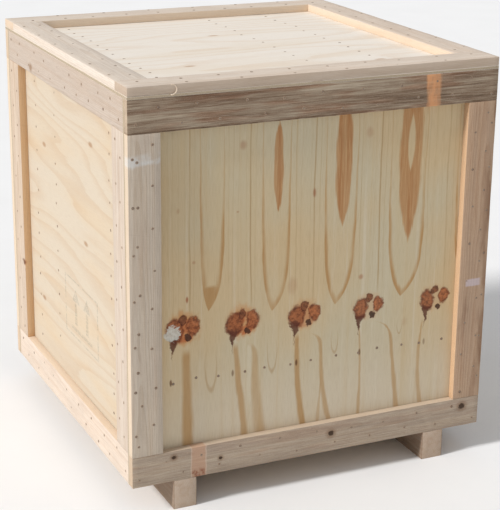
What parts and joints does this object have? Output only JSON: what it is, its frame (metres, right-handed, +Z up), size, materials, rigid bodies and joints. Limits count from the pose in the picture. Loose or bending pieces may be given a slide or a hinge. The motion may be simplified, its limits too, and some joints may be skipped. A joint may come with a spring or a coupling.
{
  "type": "shipping crate",
  "caption": "Cubic wooden shipping crate: plywood panels framed outside by sawn boards, standing on skids for a fork truck, with a nailed lid that lifts off.",
  "frame": {"origin": "on the ground under the middle of the crate", "axes": "+Z up, the front panel faces -Y, +X to the right of a person facing the front"},
  "size_m": [1.2, 1.2, 1.307],
  "materials": {
    "plywood": "unsanded softwood veneer, knots and resin streaks, matte",
    "sawn_board": "rough sawn softwood, matte, slightly furry",
    "weathered_board": "rough sawn softwood greyed by weather, matte",
    "inner_board": "sawn softwood kept dry, matte",
    "skid_timber": "rough sawn softwood, scuffed under",
    "nail_steel": "plain steel nail heads, dull with light rust"
  },
  "bodies": {
    "crate": {"back_batten_nails": "nail_steel", "back_bottom_cleat": "weathered_board", "back_cleat_nails": "nail_steel", "back_inner_batten": "inner_board", "back_left_cleat": "sawn_board", "back_plywood": "plywood", "back_right_cleat": "sawn_board", "back_top_cleat": "sawn_board", "corner_nails": "nail_steel", "deck_board_1": "inner_board", "deck_board_2": "inner_board", "deck_board_3": "inner_board", "deck_board_4": "inner_board", "deck_board_5": "inner_board", "deck_board_6": "inner_board", "deck_board_7": "inner_board", "deck_board_8": "inner_board", "deck_nails": "nail_steel", "floor_plywood": "plywood", "front_batten_nails": "nail_steel", "front_bottom_cleat": "sawn_board", "front_cleat_nails": "nail_steel", "front_inner_batten": "inner_board", "front_left_cleat": "sawn_board", "front_plywood": "plywood", "front_right_cleat": "sawn_board", "front_top_cleat": "weathered_board", "left_back_cleat": "sawn_board", "left_bottom_cleat": "sawn_board", "left_front_cleat": "sawn_board", "left_inner_batten_1": "inner_board", "left_inner_batten_2": "inner_board", "left_inner_batten_3": "inner_board", "left_nails": "nail_steel", "left_plywood": "plywood", "left_top_cleat": "sawn_board", "right_back_cleat": "sawn_board", "right_bottom_cleat": "sawn_board", "right_front_cleat": "sawn_board", "right_inner_batten_1": "inner_board", "right_inner_batten_2": "inner_board", "right_inner_batten_3": "inner_board", "right_nails": "nail_steel", "right_plywood": "plywood", "right_top_cleat": "weathered_board", "skid_left": "skid_timber", "skid_right": "skid_timber"},
    "lid": {"lid_back_cleat": "sawn_board", "lid_board_nails": "nail_steel", "lid_front_cleat": "sawn_board", "lid_holding_nails": "nail_steel", "lid_joist_1": "inner_board", "lid_joist_2": "inner_board", "lid_joist_3": "inner_board", "lid_left_cleat": "weathered_board", "lid_plywood": "plywood", "lid_right_cleat": "weathered_board"}
  },
  "joints": [
    {"name": "lid_lift", "type": "slide", "parent": "crate", "child": "lid", "axis": [0, 0, 1], "range_m": [0, 0.6]}
  ]
}
